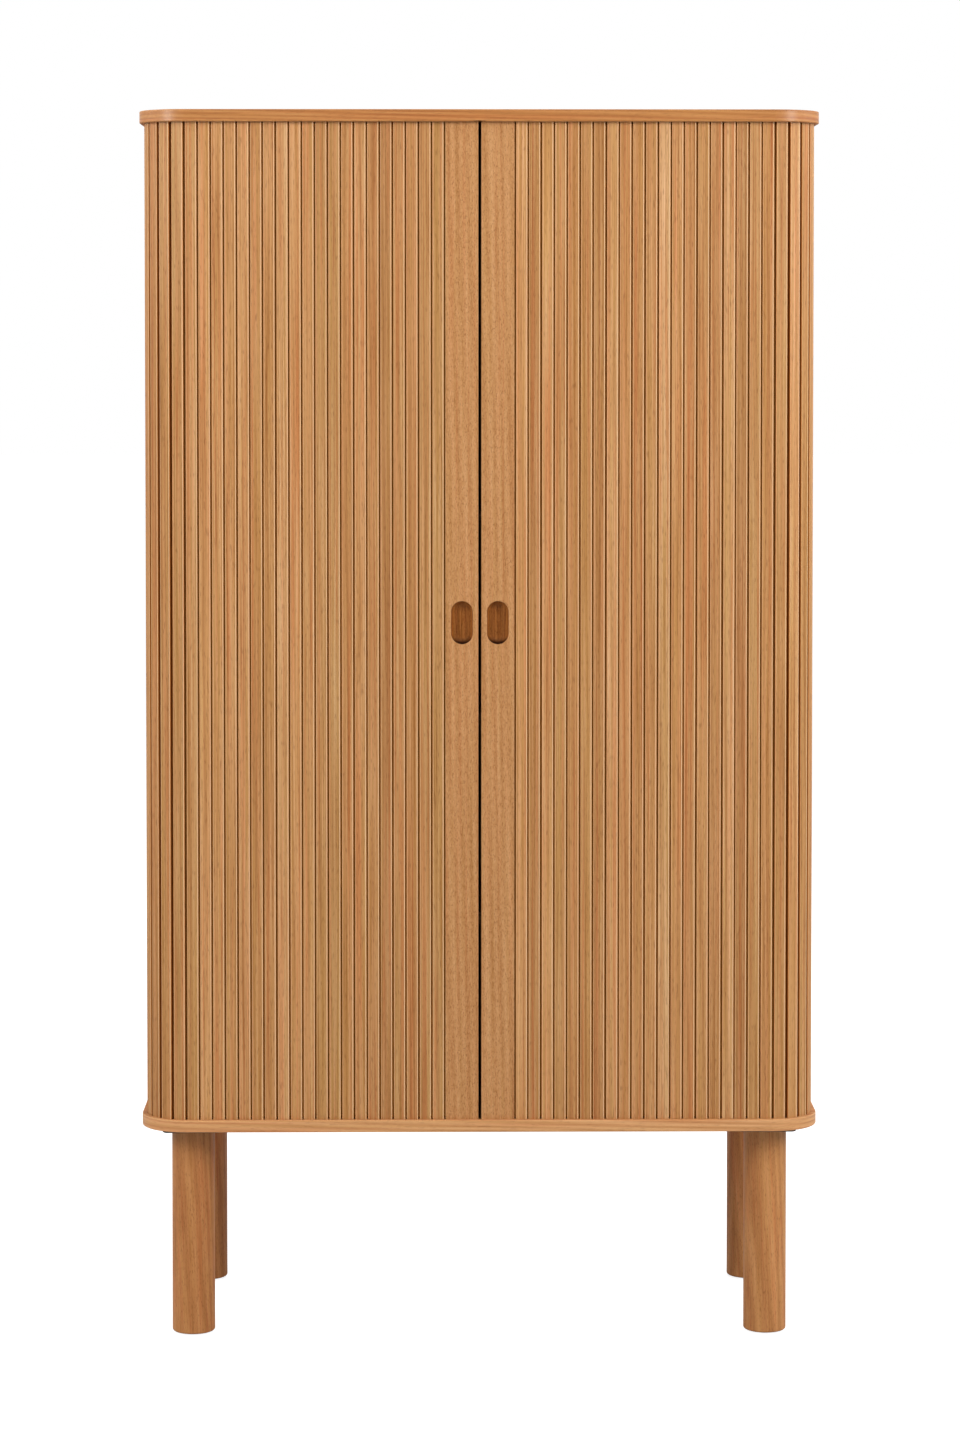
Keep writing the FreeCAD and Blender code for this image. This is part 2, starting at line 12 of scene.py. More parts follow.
import bmesh
import bpy
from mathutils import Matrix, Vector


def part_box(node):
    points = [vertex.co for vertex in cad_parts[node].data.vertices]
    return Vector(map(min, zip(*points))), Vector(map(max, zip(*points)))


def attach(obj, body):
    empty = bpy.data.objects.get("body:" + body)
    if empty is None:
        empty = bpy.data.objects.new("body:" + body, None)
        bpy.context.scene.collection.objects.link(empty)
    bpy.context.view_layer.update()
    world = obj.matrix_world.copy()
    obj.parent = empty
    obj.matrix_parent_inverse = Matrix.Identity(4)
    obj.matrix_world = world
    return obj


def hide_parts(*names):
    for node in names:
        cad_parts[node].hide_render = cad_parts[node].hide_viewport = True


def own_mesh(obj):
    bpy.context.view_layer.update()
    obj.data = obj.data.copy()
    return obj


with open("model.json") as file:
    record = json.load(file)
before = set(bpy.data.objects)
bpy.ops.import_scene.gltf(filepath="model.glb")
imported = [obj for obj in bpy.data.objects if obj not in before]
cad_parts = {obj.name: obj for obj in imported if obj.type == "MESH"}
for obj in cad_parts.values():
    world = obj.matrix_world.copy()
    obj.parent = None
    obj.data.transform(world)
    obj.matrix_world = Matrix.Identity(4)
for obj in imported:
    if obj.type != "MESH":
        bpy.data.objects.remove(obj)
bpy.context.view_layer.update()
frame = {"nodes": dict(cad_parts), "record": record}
scene = bpy.context.scene
MM = 0.001

# %% [markdown]
# ## Camera
# The photograph was taken square to the front with a long lens, so upright edges stay upright.
# A view camera does that with a level body and a lens that is shifted. A full shift would put
# the eye at the top board, but other views keep the shift, and they would cut the cabinet off.
# So the camera takes part of the shift and dips by two degrees for the rest, which the eye
# doesn't notice.

# %% Camera
PHOTO_SIZE = (960, 1446)
FOCAL_PIXELS = 3750.0
CAMERA_PLACE = (-0.0549, -5.4188, 1.4025)
CAMERA_TURN = math.radians(0.607)
CAMERA_DIP = math.radians(2.108)
LENS_SHIFT = -0.17

camera_data = bpy.data.cameras.new("camera")
camera_data.sensor_width = 36.0
camera_data.lens = FOCAL_PIXELS / max(PHOTO_SIZE) * camera_data.sensor_width
camera_data.shift_y = LENS_SHIFT
camera = bpy.data.objects.new("camera", camera_data)
camera.location = CAMERA_PLACE
camera.rotation_euler = (math.pi / 2 - CAMERA_DIP, 0.0, -CAMERA_TURN)
scene.collection.objects.link(camera)
scene.camera = camera
scene.view_settings.view_transform = "Standard"
print("lens", round(camera_data.lens, 1), "mm, eye at", CAMERA_PLACE)

# %% [markdown]
# ## Two helpers
# Colours are written as the hex values that a screen shows, and shaders work in linear light,
# so one function turns the first into the second. Node trees are long to write out by hand, so
# a second function adds one node with its settings and its links. It serves shaders and
# Geometry Nodes alike.

# %% Colour and node helpers
def linear(hex_colour):
    """An sRGB hex colour as the linear RGBA that a socket takes."""
    shown = [int(hex_colour[i:i + 2], 16) / 255 for i in (1, 3, 5)]
    return (*[c / 12.92 if c <= 0.04045 else ((c + 0.055) / 1.055) ** 2.4 for c in shown], 1.0)


def put(tree, kind, settings=None, links=None):
    """Adds a node. Settings in lower case are its properties, the others its inputs' values."""
    node = tree.nodes.new(kind)
    for key, value in (settings or {}).items():
        if key == "stops":
            ramp = node.color_ramp.elements
            (ramp[0].position, ramp[0].color), (ramp[1].position, ramp[1].color) = value[0], value[-1]
            for place, colour in value[1:-1]:
                ramp.new(place).color = colour
        elif isinstance(key, str) and key[0].islower():
            setattr(node, key, value)
        else:
            node.inputs[key].default_value = value
    for key, sources in (links or {}).items():
        for source in sources if isinstance(sources, list) else [sources]:
            if isinstance(source, bpy.types.Node):
                source = next(s for s in source.outputs if s.enabled)
            tree.links.new(source, node.inputs[key])
    return node


print("white in linear light:", linear("#FFFFFF"), "middle grey:", linear("#808080")[0])

# %% [markdown]
# ## Studio
# The photograph is a cut-out on white, lit softly from the front, a little from the right and
# from above. The world gives a plain ambient level, and shows itself as white to the camera and
# in reflections only, which costs the object no contrast. Large area lamps give the soft light:
# two from the front, two from the sides, and three washes for the rounded corners and the back.

# %% World
AMBIENT = 0.3
world = bpy.data.worlds.new("studio")
world.use_nodes = True
scene.world = world
air = world.node_tree
air.nodes.clear()
ray = put(air, "ShaderNodeLightPath")
camera_or_glossy = put(air, "ShaderNodeMath", {"operation": "MAXIMUM"},
                       {0: ray.outputs["Is Camera Ray"], 1: ray.outputs["Is Glossy Ray"]})
seen_ray = put(air, "ShaderNodeMath", {"operation": "MAXIMUM"},
               {0: camera_or_glossy, 1: ray.outputs["Is Transmission Ray"]})
ambient = put(air, "ShaderNodeBackground", {"Color": linear("#FFFFFF"), "Strength": AMBIENT})
seen_white = put(air, "ShaderNodeBackground", {"Color": linear("#FFFFFF"), "Strength": 1.0})
sky = put(air, "ShaderNodeMixShader", {}, {0: seen_ray, 1: ambient, 2: seen_white})
put(air, "ShaderNodeOutputWorld", {}, {"Surface": sky})
print("world: ambient level", AMBIENT)

# %% Area lamps
def hang(lamp_name, kind, place, target, watts):
    """One lamp at a place, turned to face a point and unseen by the camera."""
    lamp = bpy.data.objects.new(lamp_name, bpy.data.lights.new(lamp_name, kind))
    lamp.data.energy = watts
    lamp.location = place
    away = [p - t for p, t in zip(place, target)]
    lamp.rotation_euler = (math.atan2(math.hypot(away[0], away[1]), away[2]), 0.0,
                           math.atan2(away[0], -away[1]))
    lamp.visible_camera = False
    scene.collection.objects.link(lamp)
    return lamp


LAMPS = {
    # name: place, point it faces, width and height in metres, watts
    "key_right": ((1.5, -3.0, 3.6), (0.1, 0.0, 2.0), (2.2, 2.2), 29.0),
    "fill_left": ((-1.6, -3.0, 3.5), (-0.1, 0.0, 2.0), (2.4, 2.4), 17.0),
    "right_wash": ((2.8, -2.4, 2.5), (0.4, -0.2, 1.7), (1.0, 1.6), 61.0),
    "left_wash": ((-2.8, -2.4, 2.5), (-0.4, -0.2, 1.7), (0.9, 1.6), 52.0),
    "right_side": ((3.2, -0.2, 2.8), (0.4, 0.0, 1.5), (2.2, 2.2), 50.0),
    "left_side": ((-3.2, -0.2, 2.8), (-0.4, 0.0, 1.5), (2.2, 2.2), 42.0),
    "back_wash": ((0.8, 3.8, 3.3), (0.0, 0.0, 1.2), (2.6, 2.6), 95.0),
}
for lamp_name, (place, target, spread, watts) in LAMPS.items():
    lamp = hang(lamp_name, "AREA", place, target, watts)
    lamp.data.shape = "RECTANGLE"
    lamp.data.size, lamp.data.size_y = spread
    # A wash would glare in the lacquer of the edges and the top, so reflections leave it out
    lamp.visible_glossy = not lamp_name.endswith("wash")
print("area lamps:", ", ".join(LAMPS))

# %% [markdown]
# ## Corner glints
# On each rounded front corner of the top board the photograph has one soft highlight. A wide lamp
# that is bright enough for it would also haze the slats, so a narrow spot lamp is aimed at each
# corner instead. It gives no diffuse light, so only the lacquer's gloss shows it.

# %% Corner glints
GLINTS = {"left_glint": (-1, 350.0), "right_glint": (1, 330.0)}
GLINT_PLACE, GLINT_AIM = (2.75, -2.65, 1.4), (0.4, -0.22, 1.71)
GLINT_CONE, GLINT_BLEND, GLINT_RADIUS = math.radians(11.0), 0.8, 0.12
for lamp_name, (side, watts) in GLINTS.items():
    place, target = [(side * x, y, z) for x, y, z in (GLINT_PLACE, GLINT_AIM)]
    glint = hang(lamp_name, "SPOT", place, target, watts)
    glint.data.spot_size, glint.data.spot_blend = GLINT_CONE, GLINT_BLEND
    glint.data.shadow_soft_size = GLINT_RADIUS
    glint.visible_diffuse = False
print("glints:", ", ".join(GLINTS))

# %% [markdown]
# ## Floor
# A wide pale floor carries the cabinet and catches its soft shadow. A floor that is truly white
# would need more light than the wood can stand, so to the camera it adds a glow of its own
# to its diffuse light. Unshadowed it reads as white, and the shadow stays.

# %% Floor
FLOOR_HALF = 40.0
FLOOR_GLOW = 0.89
floor_mesh = bpy.data.meshes.new("floor")
floor_mesh.from_pydata([(x * FLOOR_HALF, y * FLOOR_HALF, 0.0)
                        for x, y in ((-1, -1), (1, -1), (1, 1), (-1, 1))], [], [(0, 1, 2, 3)])
floor = bpy.data.objects.new("floor", floor_mesh)
scene.collection.objects.link(floor)
paper = bpy.data.materials.new("studio paper")
paper.use_nodes = True
sheet_nodes = paper.node_tree
sheet_nodes.nodes.clear()
eye = put(sheet_nodes, "ShaderNodeLightPath")
matt = put(sheet_nodes, "ShaderNodeBsdfDiffuse", {"Color": linear("#C0C0C0")})
dimmed = put(sheet_nodes, "ShaderNodeBsdfDiffuse", {"Color": linear("#AAAAAA")})
glow = put(sheet_nodes, "ShaderNodeEmission", {"Color": linear("#FFFFFF"), "Strength": FLOOR_GLOW})
lit_paper = put(sheet_nodes, "ShaderNodeAddShader", {}, {0: dimmed, 1: glow})
paper_mix = put(sheet_nodes, "ShaderNodeMixShader", {},
                {0: eye.outputs["Is Camera Ray"], 1: matt, 2: lit_paper})
put(sheet_nodes, "ShaderNodeOutputMaterial", {}, {"Surface": paper_mix})
floor_mesh.materials.append(paper)
print("floor", 2 * FLOOR_HALF, "m wide")

# %% [markdown]
# ## The figure of oak
# Oak has long fibres, soft bands of early and late wood, growth rings that flow in waves where
# the board is cut flat, and short dark pores. An image texture would show all that, but it would
# repeat and isn't needed: noise that is stretched to a real width and length in millimetres
# gives each layer, and a wave texture gives the rings. A colour ramp then turns the sum into
# pale, middle and brown wood. The layers take the axis that the grain runs along, so one
# function serves uprights, boards and edges.

# %% Noise of a real size
def sizes(along, wide, long):
    """A pattern's size on x, y and z, long on the axes that the grain runs along."""
    return [long if axis in along else wide for axis in "xyz"]


def stretched(tree, coords, size_mm, detail=2.0, distortion=0.0):
    """Noise whose blotches have this size on x, y and z, in millimetres."""
    mapped = put(tree, "ShaderNodeMapping", {"Scale": [1 / (s * MM) for s in size_mm]},
                 {"Vector": coords})
    return put(tree, "ShaderNodeTexNoise",
               {"Scale": 1.0, "Detail": detail, "Distortion": distortion}, {"Vector": mapped})


print("an upright fibre of 1.8 by 270 mm has the sizes", sizes("z", 1.8, 270.0))

# %% Oak figure
# At this scale a diagonal wave goes once from pale to dark in each unit
RING_TURN = math.pi / 10
# A band's length in its widths, and the width and length of streaks that lean in hue, in fibres
BAND_REACH, HUE_WIDTH, HUE_REACH = 110, 2, 300
# How far the layers' sum strays from a half, and the peaks of the pores' noise that show as pores
FIGURE_SPREAD, PORE_START, PORE_FULL = 0.16, 0.56, 0.72
# Settings of a Mix node by which one colour tints another
TINT = {"data_type": "RGBA", "blend_type": "MULTIPLY"}


def oak_figure(tree, coords, along, colours, fibre=1.8, reach=150, band=8.0, ring=4.0,
               weights=(0.4, 0.35, 0.25), contrast=1.0, pore=(0.8, 11.0), pore_depth=0.25, flow=5.0,
               ring_reach=34, lean_hue=1.0):
    """Oak's colour, and a height for its bump. Sizes are in millimetres across the grain."""
    fibres = stretched(tree, coords, sizes(along, fibre, fibre * reach), 4.0)
    bands = stretched(tree, coords, sizes(along, band, band * BAND_REACH), 4.0)
    ring_sizes = sizes(along, ring, ring * ring_reach)
    ring_place = put(tree, "ShaderNodeMapping", {"Scale": [1 / (s * MM) for s in ring_sizes]},
                     {"Vector": coords})
    rings = put(tree, "ShaderNodeTexWave",
                {"bands_direction": "DIAGONAL", "Scale": RING_TURN, "Distortion": flow, "Detail": 2.0,
                 "Detail Scale": 0.7}, {"Vector": ring_place})
    first = put(tree, "ShaderNodeMath", {"operation": "MULTIPLY", 1: weights[0]}, {0: fibres})
    second = put(tree, "ShaderNodeMath", {"operation": "MULTIPLY_ADD", 1: weights[1]},
                 {0: bands, 2: first})
    summed = put(tree, "ShaderNodeMath", {"operation": "MULTIPLY_ADD", 1: weights[2]},
                 {0: rings, 2: second})
    spread = FIGURE_SPREAD / contrast
    wood = put(tree, "ShaderNodeValToRGB",
               {"stops": [(0.5 - spread, linear(colours[0])), (0.5, linear(colours[1])),
                          (0.5 + spread, linear(colours[2]))]}, {"Fac": summed})
    # Some streaks lean to yellow, others to pink
    warmth = stretched(tree, coords, sizes(along, HUE_WIDTH * fibre, HUE_REACH * fibre), 4.0)
    hue = put(tree, "ShaderNodeValToRGB",
              {"stops": [(0.36, linear("#F5F1DB")), (0.5, linear("#FFFFFF")),
                         (0.64, linear("#FFE8DE"))]}, {"Fac": warmth})
    streaked = put(tree, "ShaderNodeMix", {**TINT, 0: lean_hue}, {6: wood, 7: hue})
    # Real pores are 0.2 to 0.3 mm wide, and are drawn wider so that they show at this distance
    pores = stretched(tree, coords, sizes(along, *pore), 1.0)
    pore_mask = put(tree, "ShaderNodeMapRange",
                    {"From Min": PORE_START, "From Max": PORE_FULL, "To Min": 0.0,
                     "To Max": pore_depth}, {"Value": pores})
    dark = put(tree, "ShaderNodeMix", {**TINT, 7: linear("#8A5A35")}, {0: pore_mask, 6: streaked})
    height = put(tree, "ShaderNodeMath", {"operation": "SUBTRACT"}, {0: fibres, 1: pore_mask})
    return dark, height


print("oak figure: fibres, bands, rings, leaning hues and pores")

# %% [markdown]
# ## Lacquer
# The oak is sealed with a thin satin lacquer under which the grain can still be felt. A clear coat
# as a layer of its own would suit a thick film. In a thin one the gloss follows the wood, so one
# shader does, whose roughness and bump read the grain's height. Where a flat face is rubbed down
# after lacquering, a mask makes it duller than the edges.

# %% Lacquer
SHEEN_RANGE = 0.07
RUBBED_DOWN = 0.25


def new_finish(name):
    """An empty material, and its tree."""
    made = bpy.data.materials.new(name)
    made.use_nodes = True
    made.node_tree.nodes.clear()
    return made, made.node_tree


def lacquer(tree, colour, height, roughness, bump_mm=0.06, gloss=0.35, rubbed=None):
    """Satin lacquer over wood: a soft sheen, duller where the mask says that it is rubbed."""
    sheen = put(tree, "ShaderNodeMapRange",
                {"To Min": roughness - SHEEN_RANGE, "To Max": roughness + SHEEN_RANGE},
                {"Value": height})
    if rubbed is not None:
        sheen = put(tree, "ShaderNodeMath", {"operation": "MULTIPLY_ADD", 1: RUBBED_DOWN},
                    {0: rubbed, 2: sheen})
    relief = put(tree, "ShaderNodeBump", {"Strength": 0.6, "Distance": bump_mm * MM},
                 {"Height": height})
    wood = put(tree, "ShaderNodeBsdfPrincipled", {"Specular IOR Level": gloss},
               {"Base Color": colour, "Roughness": sheen, "Normal": relief})
    put(tree, "ShaderNodeOutputMaterial", {}, {"Surface": wood})


print("lacquer: roughness varies by", SHEEN_RANGE, "and rubbed faces are rougher by", RUBBED_DOWN)

# %% [markdown]
# ## Slat oak
# The slats are sawn from many boards, so neighbours differ: some are greyish and pale, some
# orange brown, and each has its own streaks. Each slat carries four attributes that its
# geometry tree stores: where a point is on the slat, how far across it lies, a random shift into
# the grain, and a random tone. Read from attributes, the grain stays on its slat when the curtain
# moves. A painted highlight on the eased long edges, stronger on the right ones, draws the fine
# light line beside each gap. The gap's walls are a warm brown, darkened by painted shade deeper in.

# %% Slat oak
SLAT_THICKNESS = 6 * MM
# Where each edge's painted highlight starts and is full, in half widths from the slat's middle, and how
# strong it is
EDGE_HIGHLIGHTS = {"right": (0.74, 0.82, 0.75), "left": (-0.78, -0.86, 0.35)}
# Where the gap's wall starts and is full, in half widths too, and how deep in its painted shade grows
# darker
WALL_START, WALL_FULL = 0.89, 0.95
GAP_SHADE_START, GAP_SHADE_FULL = 0.6 * MM, 2.2 * MM
slat_oak, tree = new_finish("slat oak, satin lacquer")
on_slat = put(tree, "ShaderNodeAttribute", {"attribute_name": "on_slat"})
shift = put(tree, "ShaderNodeAttribute", {"attribute_name": "grain_shift"})
tone = put(tree, "ShaderNodeAttribute", {"attribute_name": "tone"})
across = put(tree, "ShaderNodeAttribute", {"attribute_name": "across"})
slat_coords = put(tree, "ShaderNodeVectorMath", {"operation": "ADD"},
                  {0: on_slat.outputs["Vector"], 1: shift.outputs["Vector"]})
slat_wood, slat_height = oak_figure(tree, slat_coords, "z", ("#E1BB8F", "#CB9D6B", "#AA7746"),
                                    fibre=1.8, reach=110, band=5.0, ring=3.4,
                                    weights=(0.56, 0.38, 0.06), contrast=0.85, pore=(1.3, 12.0),
                                    pore_depth=0.34, ring_reach=110)
slat_tint = put(tree, "ShaderNodeValToRGB",
                {"stops": [(0.0, linear("#DFCFBF")), (0.25, linear("#F0DECD")),
                           (0.5, linear("#ECE4D5")), (0.75, linear("#FBECDF")),
                           (1.0, linear("#FFFFFF"))]}, {"Fac": tone.outputs["Fac"]})
tinted = put(tree, "ShaderNodeMix", {**TINT, 0: 1.0}, {6: slat_wood, 7: slat_tint})
# Painted highlight: each eased edge is mixed towards a pale colour, the right edge more than the left
right_highlight, left_highlight = [
    put(tree, "ShaderNodeMapRange", {"From Min": start, "From Max": full, "To Max": share},
        {"Value": across.outputs["Fac"]}) for start, full, share in EDGE_HIGHLIGHTS.values()]
edge = put(tree, "ShaderNodeMath", {"operation": "MAXIMUM"}, {0: right_highlight, 1: left_highlight})
with_highlights = put(tree, "ShaderNodeMix", {"data_type": "RGBA", 7: linear("#ECC99D")}, {0: edge, 6: tinted})
from_middle = put(tree, "ShaderNodeMath", {"operation": "ABSOLUTE"}, {0: across.outputs["Fac"]})
in_gap = put(tree, "ShaderNodeMapRange", {"From Min": WALL_START, "From Max": WALL_FULL},
             {"Value": from_middle})
slat_axes = put(tree, "ShaderNodeSeparateXYZ", {}, {0: on_slat.outputs["Vector"]})
# Painted shade: the gap's walls are a darker brown, darker still the deeper they lie
gap_shade_depth = put(tree, "ShaderNodeMapRange",
                {"From Min": GAP_SHADE_START - SLAT_THICKNESS, "From Max": GAP_SHADE_FULL - SLAT_THICKNESS},
                {"Value": slat_axes.outputs["Y"]})
gap_wall_shade = put(tree, "ShaderNodeMix", {"data_type": "RGBA", 6: linear("#C07A38"), 7: linear("#8E5322")},
               {0: gap_shade_depth})
walls_shaded = put(tree, "ShaderNodeMix", {"data_type": "RGBA"}, {0: in_gap, 6: with_highlights, 7: gap_wall_shade})
lacquer(tree, walls_shaded, slat_height, 0.5, bump_mm=0.04, gloss=0.18)
print("made", slat_oak.name)

# %% [markdown]
# ## Stile oak
# The lead stiles are wider and cut from quieter, straight-grained wood with short flecks. Their
# finger pulls are routed out, and inside them the wood is painted a deep red brown as the
# recess's shade, darkest where painted shade lies on the up-facing end grain at the pull's foot.
# The edges where the two stiles meet are painted dark as the shade in the gap between them.
# Separate meshes could carry these tones, but place and direction tell them apart: the depth
# behind the stile's face, the distance from the cabinet's middle, and a normal that looks up.

# %% Stile oak
stile_face_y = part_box("left_lead_stile")[0].y
# Where the painted shades start and are full: behind the face, from the middle, and by the normal's
# height
PULL_SHADE_START, PULL_SHADE_FULL = 0.5 * MM, 1.5 * MM
MEETING_SHADE_START, MEETING_SHADE_FULL = 2.4 * MM, 1.9 * MM
FOOT_SHADE_START, FOOT_SHADE_FULL = 0.1, 0.9
stile_oak, tree = new_finish("stile oak, satin lacquer")
place = put(tree, "ShaderNodeTexCoord")
stile_wood, stile_height = oak_figure(tree, place.outputs["Object"], "z",
                                      ("#D09F6E", "#C18C5A", "#AC7545"), fibre=1.4, reach=5,
                                      band=7.0, ring=6.0, weights=(0.5, 0.4, 0.1), contrast=0.9,
                                      pore=(1.2, 3.0), pore_depth=0.4, lean_hue=0.5)
axes = put(tree, "ShaderNodeSeparateXYZ", {}, {0: place.outputs["Object"]})
depth = put(tree, "ShaderNodeMapRange",
            {"interpolation_type": "SMOOTHSTEP", "From Min": stile_face_y + PULL_SHADE_START,
             "From Max": stile_face_y + PULL_SHADE_FULL}, {"Value": axes.outputs["Y"]})
pull_grain = stretched(tree, place.outputs["Object"], sizes("z", 1.8, 60.0), 2.0)
# Painted shade inside the routed pull: a deep red brown behind the stile's face
pull_shade_colour = put(tree, "ShaderNodeValToRGB",
            {"stops": [(0.35, linear("#AE9268")), (0.65, linear("#D6B588"))]}, {"Fac": pull_grain})
recess_shaded = put(tree, "ShaderNodeMix", TINT, {0: depth, 6: stile_wood, 7: pull_shade_colour})
# Painted shade on the edges where the two stiles meet, for the gap between them
from_centre = put(tree, "ShaderNodeMath", {"operation": "ABSOLUTE"}, {0: axes.outputs["X"]})
meeting_shade_mask = put(tree, "ShaderNodeMapRange", {"From Min": MEETING_SHADE_START, "From Max": MEETING_SHADE_FULL},
            {"Value": from_centre})
meeting_shaded = put(tree, "ShaderNodeMix", {**TINT, 7: linear("#86685A")}, {0: meeting_shade_mask, 6: recess_shaded})
facing = put(tree, "ShaderNodeNewGeometry")
facing_axes = put(tree, "ShaderNodeSeparateXYZ", {}, {0: facing.outputs["Normal"]})
# Painted shade on the up-facing wall at the pull's foot, where end grain shows
foot_shade_share = put(tree, "ShaderNodeMapRange",
                {"interpolation_type": "SMOOTHSTEP", "From Min": FOOT_SHADE_START, "From Max": FOOT_SHADE_FULL},
                {"Value": facing_axes.outputs["Z"]})
foot_shade_mask = put(tree, "ShaderNodeMath", {"operation": "MULTIPLY"}, {0: foot_shade_share, 1: depth})
foot_shaded = put(tree, "ShaderNodeMix", {**TINT, 7: linear("#3E281C")}, {0: foot_shade_mask, 6: meeting_shaded})
lacquer(tree, foot_shaded, stile_height, 0.52, gloss=0.14)
print("made", stile_oak.name)

# %% [markdown]
# ## Board oak
# The top and bottom boards are veneered: the grain of a flat face runs from left to right, and
# the edge strip's grain runs round the edge, round the corners too. The flat faces are rubbed
# duller, and the edge keeps the gloss that carries the corner glints. The direction that a face
# looks in tells the two apart, so figures and sheen are mixed by the normal.

# %% Board oak
BOARD_FACE = ("#CF9B6A", "#BF8757", "#A5703F")
INSIDE_FACE = ("#D0A071", "#C29060", "#AD7A4B")
# How upright a normal is where a flat face starts and is full
FACE_START, FACE_FULL = 0.6, 0.8


def board_oak(name, face_colours, edge_colours, roughness):
    """Veneer with a lipped edge: one figure on the flat faces, another along the edge."""
    finish, tree = new_finish(name)
    place = put(tree, "ShaderNodeTexCoord")
    facing = put(tree, "ShaderNodeNewGeometry")
    face_wood, face_height = oak_figure(tree, place.outputs["Object"], "x", face_colours,
                                        band=11.0, ring=14.0, weights=(0.48, 0.47, 0.05),
                                        contrast=0.9, flow=7.0)
    edge_wood, edge_height = oak_figure(tree, place.outputs["Object"], "xy", edge_colours,
                                        fibre=1.4, band=3.2, ring=3.6, weights=(0.4, 0.38, 0.22),
                                        contrast=0.7, flow=6.0, lean_hue=0.6)
    axes = put(tree, "ShaderNodeSeparateXYZ", {}, {0: facing.outputs["Normal"]})
    upright = put(tree, "ShaderNodeMath", {"operation": "ABSOLUTE"}, {0: axes.outputs["Z"]})
    is_face = put(tree, "ShaderNodeMapRange", {"From Min": FACE_START, "From Max": FACE_FULL},
                  {"Value": upright})
    wood = put(tree, "ShaderNodeMix", {"data_type": "RGBA"}, {0: is_face, 6: edge_wood, 7: face_wood})
    height = put(tree, "ShaderNodeMix", {"data_type": "FLOAT"},
                 {0: is_face, 2: edge_height, 3: face_height})
    lacquer(tree, wood, height, roughness, bump_mm=0.03, rubbed=is_face)
    return finish


# One veneer on both boards: the bottom's edge is painted paler than the top's, as light thrown up from
# the floor
top_oak = board_oak("top board oak, satin lacquer", BOARD_FACE, ("#C68C53", "#B77940", "#9F6330"), 0.4)
bottom_oak_floor_lit = board_oak("bottom board oak, satin lacquer", BOARD_FACE,
                       ("#E0AC78", "#D49C68", "#BE8451"), 0.4)
shelf_oak = board_oak("shelf oak, matt lacquer", INSIDE_FACE, ("#CE9A69", "#C18B5A", "#A97345"), 0.5)
print("made", top_oak.name, ",", bottom_oak_floor_lit.name, "and", shelf_oak.name)

# %% [markdown]
# ## Leg oak and panel oak
# The legs are turned from solid oak, a little redder and darker than the slats, with grain that
# leans slightly off the leg's axis. The inner sides and the two backs are veneered panels with
# upright grain and broad, flat-cut flames.

# %% Leg and panel oak
LEG_LEAN = math.radians(3.0)


def upright_oak(name, colours, roughness, lean=0.0, left_shade="#FFFFFF", **figure):
    """Oak whose grain stands upright. Pieces on the left can get a darker tint as painted shade."""
    finish, tree = new_finish(name)
    place = put(tree, "ShaderNodeTexCoord")
    leaned = put(tree, "ShaderNodeMapping", {"Rotation": (0.0, lean, 0.0)},
                 {"Vector": place.outputs["Object"]})
    wood, height = oak_figure(tree, leaned, "z", colours, **figure)
    axes = put(tree, "ShaderNodeSeparateXYZ", {}, {0: place.outputs["Object"]})
    on_left = put(tree, "ShaderNodeMath", {"operation": "LESS_THAN", 1: 0.0}, {0: axes.outputs["X"]})
    # Painted shade: pieces on the left are tinted darker
    toned = put(tree, "ShaderNodeMix", {**TINT, 7: linear(left_shade)}, {0: on_left, 6: wood})
    lacquer(tree, toned, height, roughness)
    return finish


# The legs on the left get a slightly darker painted shade
leg_oak = upright_oak("leg oak, solid, satin lacquer", ("#CE965F", "#BF844E", "#AA6F3D"), 0.5,
                      LEG_LEAN, "#F7F0EA", fibre=1.8, reach=24, band=5.0, ring=9.0,
                      weights=(0.5, 0.3, 0.2), contrast=0.75, pore=(1.2, 6.0), pore_depth=0.35,
                      flow=7.0, lean_hue=0.7)
side_oak = upright_oak("inner side oak, matt lacquer", INSIDE_FACE, 0.6, band=12.0, ring=15.0,
                       weights=(0.48, 0.47, 0.05), contrast=0.9, flow=8.0)
back_oak = upright_oak("back panel oak, matt lacquer", ("#C99867", "#B98655", "#A27144"), 0.62,
                       band=13.0, ring=17.0, weights=(0.48, 0.47, 0.05), contrast=0.9, flow=8.0)
print("made", leg_oak.name, ",", side_oak.name, "and", back_oak.name)

# %% [markdown]
# ## Beech, steel, powder coat, felt and canvas
# What holds the cabinet together is plainer. Beech has short darker flecks. Zinc plating is a
# cool grey metal with soft blotches. Powder coat is a black skin with the fine waves of melted
# paint. Felt is matt and hairy. Canvas is a plain weave: one thread over, one under.

# %% Beech
beech, tree = new_finish("beech, planed")
place = put(tree, "ShaderNodeTexCoord")
beech_wood, beech_height = oak_figure(tree, place.outputs["Object"], "z",
                                      ("#DDB48B", "#D2A579", "#C29367"), fibre=1.2, band=10.0,
                                      ring=12.0, weights=(0.5, 0.4, 0.1), pore_depth=0.2)
lacquer(tree, beech_wood, beech_height, 0.6)
print("made", beech.name)

# %% Steel
plated_steel, tree = new_finish("zinc plated steel")
place = put(tree, "ShaderNodeTexCoord")
blotches = stretched(tree, place.outputs["Object"], (3.0, 3.0, 3.0), 3.0)
zinc = put(tree, "ShaderNodeValToRGB",
           {"stops": [(0.35, linear("#A9ADB0")), (0.65, linear("#CDCFCE"))]}, {"Fac": blotches})
zinc_rough = put(tree, "ShaderNodeMapRange", {"To Min": 0.26, "To Max": 0.48}, {"Value": blotches})
metal = put(tree, "ShaderNodeBsdfPrincipled", {"Metallic": 1.0},
            {"Base Color": zinc, "Roughness": zinc_rough})
put(tree, "ShaderNodeOutputMaterial", {}, {"Surface": metal})

